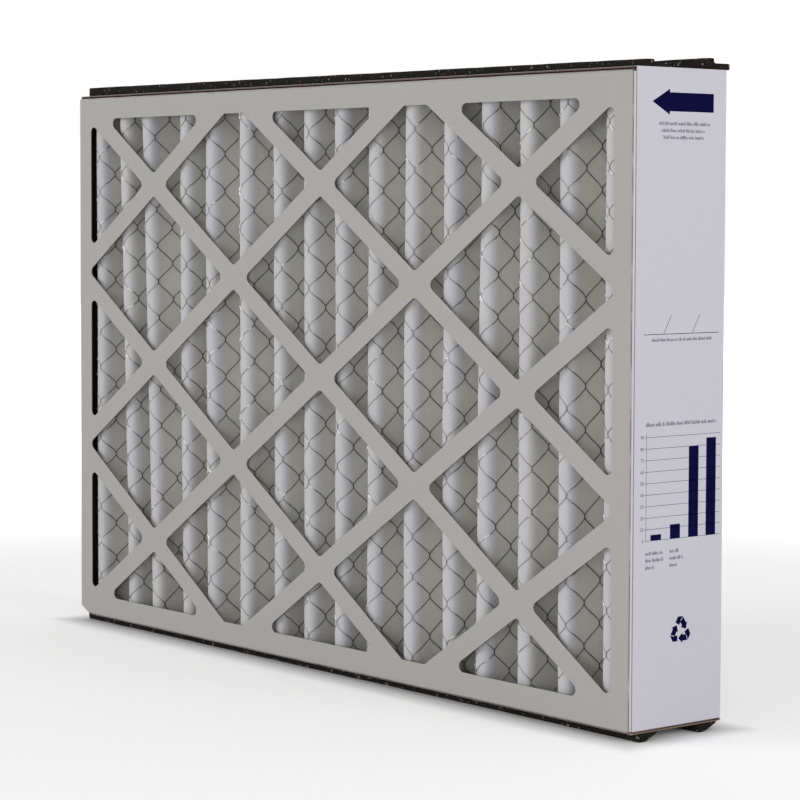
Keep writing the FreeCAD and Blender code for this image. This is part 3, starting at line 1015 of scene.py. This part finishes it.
FINE_PRINT = (            # rows as (left, right, down, high)
    (18.6, 62.2, 33.7, 2.1), (20.8, 57.8, 37.9, 2.1), (22.4, 57.0, 42.0, 2.1),       # under the arrow
    (14.0, 66.0, 164.2, 2.0), (9.8, 71.0, 215.3, 2.4),          # under the date line, over the chart
    (10.0, 26.5, 293.4, 2.2), (10.0, 25.0, 297.7, 2.2), (10.0, 18.0, 302.0, 2.2),    # under two bars
    (30.5, 38.5, 293.2, 2.2), (30.5, 42.0, 297.5, 2.2), (30.5, 38.5, 301.8, 2.2))


def print_blocks(ink, left, right, down, high, seed, low=0.68, gap=0.17, word_gap=0.35):
    """A row of narrow blocks that stands for fine print.

    About one block in three has the row's full height, the others have low times that, and the
    gaps are shares of it too.
    """
    sizes = np.random.default_rng(seed)
    across = left
    while across < right - 1.0:
        for _ in range(sizes.integers(3, 9)):
            wide = high * sizes.uniform(0.14, 0.30)
            tall = high if sizes.uniform() < 0.35 else low * high
            if across + wide > right:
                break
            add_bar(ink, across, down + high / 2 - tall, wide, tall)
            across += wide + high * gap
        across += high * word_gap


print_arrow()
for left, right, down, high in FINE_PRINT:
    print_blocks("grey", left, right, down, high, seed=int(down * 10 + left))
print_date_line()
print_chart()
print_loop(np.array([40.4, 343.0]))
print("marks", {ink: len(found) for ink, found in marks.items()})

# %% Ink and the printed pieces


def ink_material(name, light, dark):
    """Printing ink: even, slightly starved where the board's fibres stand up."""
    material, tree, shader = new_material(name, roughness=0.7, specular=0.03)
    dress(tree, shader, toned(tree, light, dark, 90.0, 1600.0, 0.55)["Color"], paper_relief(tree))
    return material


inks = {"blue": ink_material("blue ink", (0.001, 0.001, 0.026), (0.004, 0.004, 0.05)),
        "grey": ink_material("grey ink", (0.10, 0.10, 0.16), (0.17, 0.17, 0.24))}
for ink, kept in marks.items():
    points, triangles = marks_surface(kept)
    printed = make_piece("print_" + ink, points, triangles, inks[ink], smooth=False)
    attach(printed, "root")
    print(printed.name, len(triangles), "triangles")

# %% [markdown]
# ## Stage, light and camera
#
# The photograph was cut out on white, so floor and backdrop show white to the camera while they
# still take the filter's shadow. More light would bleach the filter too, so the floor's own
# material adds a glow that only the camera, mirrors and glass see: none under the filter, a little
# round it, and the full glow further out. That patch without glow is a painted contact shadow.
# Three soft lamps do the lighting: a big one far to the front left, a small one low at the front
# right, and one on the right for the end panel. None of them shows in a picture. The camera stands
# where a fit of the filter's corners in the photograph puts it.

# %% Floor

FLOOR_GLOW = 0.30         # lifts the lit floor to white, and leaves the shadow darker
# the next two shape the patch without glow under and round the filter: a painted contact shadow
painted_shadow_margin = 25.0        # over this distance round the filter the glow fades to nothing
painted_shadow_corner = 4.0         # rounds the corners of the patch without glow


def seen_directly(tree):
    """1 for rays that come from the camera or by way of a mirror or glass, 0 for soft light."""
    rays = add_node(tree, "LightPath")
    straight = maths(tree, "MAXIMUM", rays.outputs["Is Camera Ray"], rays.outputs["Is Glossy Ray"])
    return maths(tree, "MAXIMUM", straight, rays.outputs["Is Transmission Ray"])


def floor_material():
    """A pale floor that goes over into plain white with the distance from the filter, with a painted contact
    shadow where its glow is left out under and close round the filter.
    """
    material, tree, shader = new_material("pale floor", roughness=0.9, specular=0.1)
    tone = toned(tree, (0.84, 0.84, 0.84), (0.80, 0.80, 0.80), 1.5, 40.0, 0.3)
    distance = add_node(tree, "VectorMath", operation="LENGTH", vector=object_place(tree))
    far = ramp(tree, distance.outputs["Value"], 0.55, 1.8)
    x, y, _ = coordinates(tree, object_place(tree))
    beneath = maths(tree, "SMOOTH_MIN", inside_by(tree, x, rear_low[0], rear_high[0]),
                    inside_by(tree, y, front_y, rear_y), painted_shadow_corner * MM)
    # no glow under the filter and little round it: a painted contact shadow
    near = maths(tree, "MULTIPLY", less(tree, beneath, -painted_shadow_margin, 0.0), FLOOR_GLOW)
    glow = maths(tree, "MULTIPLY", seen_directly(tree), maths(tree, "ADD", far, near))
    shader.inputs["Emission Color"].default_value = (1, 1, 1, 1)
    feed(tree, glow, shader.inputs["Emission Strength"])
    feed(tree, tone["Color"], shader.inputs["Base Color"])
    return material


reach = 6000.0
corners = np.array([(-reach, -reach, 0), (reach, -reach, 0), (reach, reach, 0), (-reach, reach, 0)])
floor = make_piece("floor", corners, np.array([[0, 1, 2, 3]]), floor_material())

# %% Lamps and world

SKY_LIGHT = 0.54          # strength with which the white surroundings light the filter


def soft_lamp(name, place, target, size, watts):
    """A square area lamp at a place, facing a target, both in metres."""
    lamp = bpy.data.lights.new(name, "AREA")
    lamp.shape = "SQUARE"
    lamp.size = size
    lamp.energy = watts
    holder = bpy.data.objects.new(name, lamp)
    holder.location = place
    holder.rotation_euler = (Vector(target) - Vector(place)).to_track_quat("-Z", "Y").to_euler()
    holder.visible_camera = False
    scene.collection.objects.link(holder)


soft_lamp("front_lamp", (-6.0, -7.6, 2.9), (0.0, 0.0, 0.2), 4.6, 365.0)
soft_lamp("fill_lamp", (1.3, -1.7, 0.3), (0.1, 0.0, 0.05), 0.5, 4.6)
soft_lamp("end_lamp", (2.8, 0.25, 1.1), (0.3, 0.0, 0.2), 1.4, 23.0)
world = bpy.data.worlds.new("studio")
scene.world = world
world.use_nodes = True
sky = world.node_tree
background = sky.nodes["Background"]
background.inputs["Color"].default_value = (1, 1, 1, 1)
strength = add_node(sky, "MapRange", value=seen_directly(sky), to_min=SKY_LIGHT, to_max=1.0)
feed(sky, strength.outputs["Result"], background.inputs["Strength"])

# %% Camera

camera_yaw, camera_pitch, camera_roll = (math.radians(angle) for angle in (50.889, 3.128, 0.196))
from_plain_end, before_face, above_foot = 1756.8, 1106.7, 317.1        # its place, in millimetres
camera_place = np.array([rear_low[0] + from_plain_end, front_y - before_face, front_low[2] + above_foot])
turned = (Matrix.Rotation(camera_yaw, 4, "Z") @ Matrix.Rotation(math.pi / 2 - camera_pitch, 4, "X")
          @ Matrix.Rotation(camera_roll, 4, "Z"))
camera_data = bpy.data.cameras.new("camera")
camera_data.lens = 119.19
camera_data.sensor_width = 36.0
camera_data.shift_y = -0.06
camera_data.clip_end = 50.0
camera = bpy.data.objects.new("camera", camera_data)
camera.matrix_world = Matrix.Translation(camera_place * MM) @ turned
scene.collection.objects.link(camera)
scene.camera = camera
